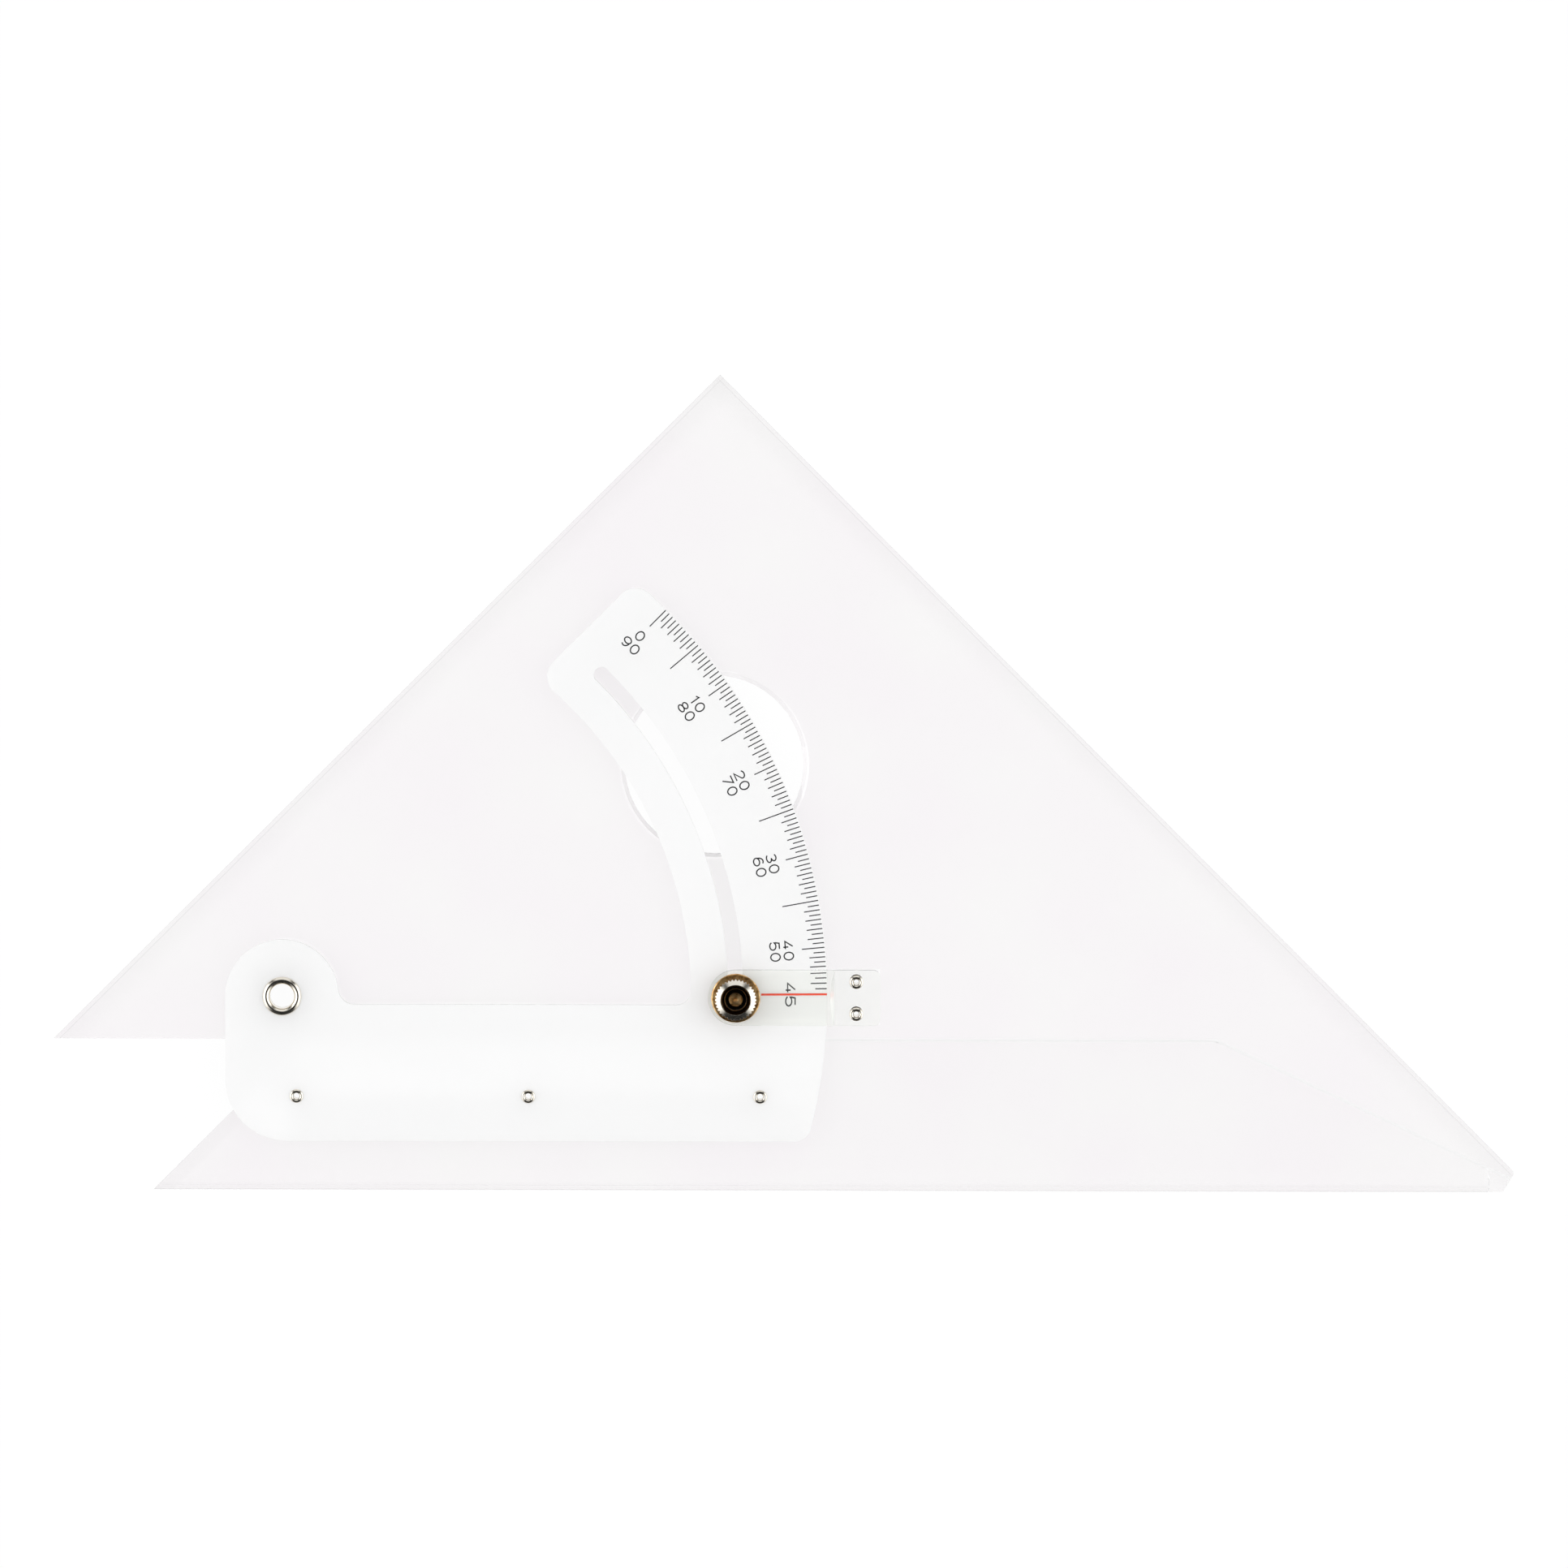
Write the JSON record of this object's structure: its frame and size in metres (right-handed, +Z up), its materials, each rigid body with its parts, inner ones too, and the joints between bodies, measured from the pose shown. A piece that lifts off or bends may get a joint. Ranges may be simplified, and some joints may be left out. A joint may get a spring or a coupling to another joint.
{
  "type": "adjustable set square",
  "caption": "Clear drafting triangle that swings on a clear base ruler, read on a slotted opal arc under a magnifying hairline window and clamped by a knurled nut.",
  "frame": {"origin": "pivot axis on the resting plane, under the hollow eyelet", "axes": "+X along the base ruler towards its blunt nose, +Y towards the triangle's apex, +Z up out of the resting plane"},
  "size_m": [0.3227, 0.1803, 0.0136],
  "materials": {
    "clear_acrylic": "clear, polished faces and cut edges",
    "opal_acrylic": "opal white, satin sheen",
    "nickel_plate": "bright nickel plate over brass",
    "brass": "turned, bright"
  },
  "bodies": {
    "ruler": {"base_ruler": "clear_acrylic", "scale_arm": "opal_acrylic", "arm_rivet_left": "nickel_plate", "arm_rivet_middle": "nickel_plate", "arm_rivet_right": "nickel_plate", "pivot_eyelet": "nickel_plate", "pivot_washer": "nickel_plate"},
    "triangle": {"triangle_plate": "clear_acrylic", "cursor_spacer": "clear_acrylic", "cursor_window": "clear_acrylic", "cursor_rivet_upper": "nickel_plate", "cursor_rivet_lower": "nickel_plate", "clamp_screw": "brass"},
    "washer": {"clamp_washer": "brass"},
    "nut": {"clamp_nut": "nickel_plate"}
  },
  "joints": [
    {"name": "triangle_swing", "type": "hinge", "parent": "ruler", "child": "triangle", "pos_m": [0, 0, 0], "axis": [0, 0, 1], "range_deg": [0, 45]},
    {"name": "clamp_lift", "type": "slide", "parent": "triangle", "child": "washer", "axis": [0, 0, 1], "range_m": [0, 0.00075]},
    {"name": "nut_turn", "type": "hinge", "parent": "washer", "child": "nut", "pos_m": [0.1002, 0, 0], "axis": [0, 0, 1], "range_deg": [0, 540]}
  ],
  "couplings": [
    {"joint": "nut_turn", "follows": "clamp_lift", "rad_per_m": 12566}
  ]
}
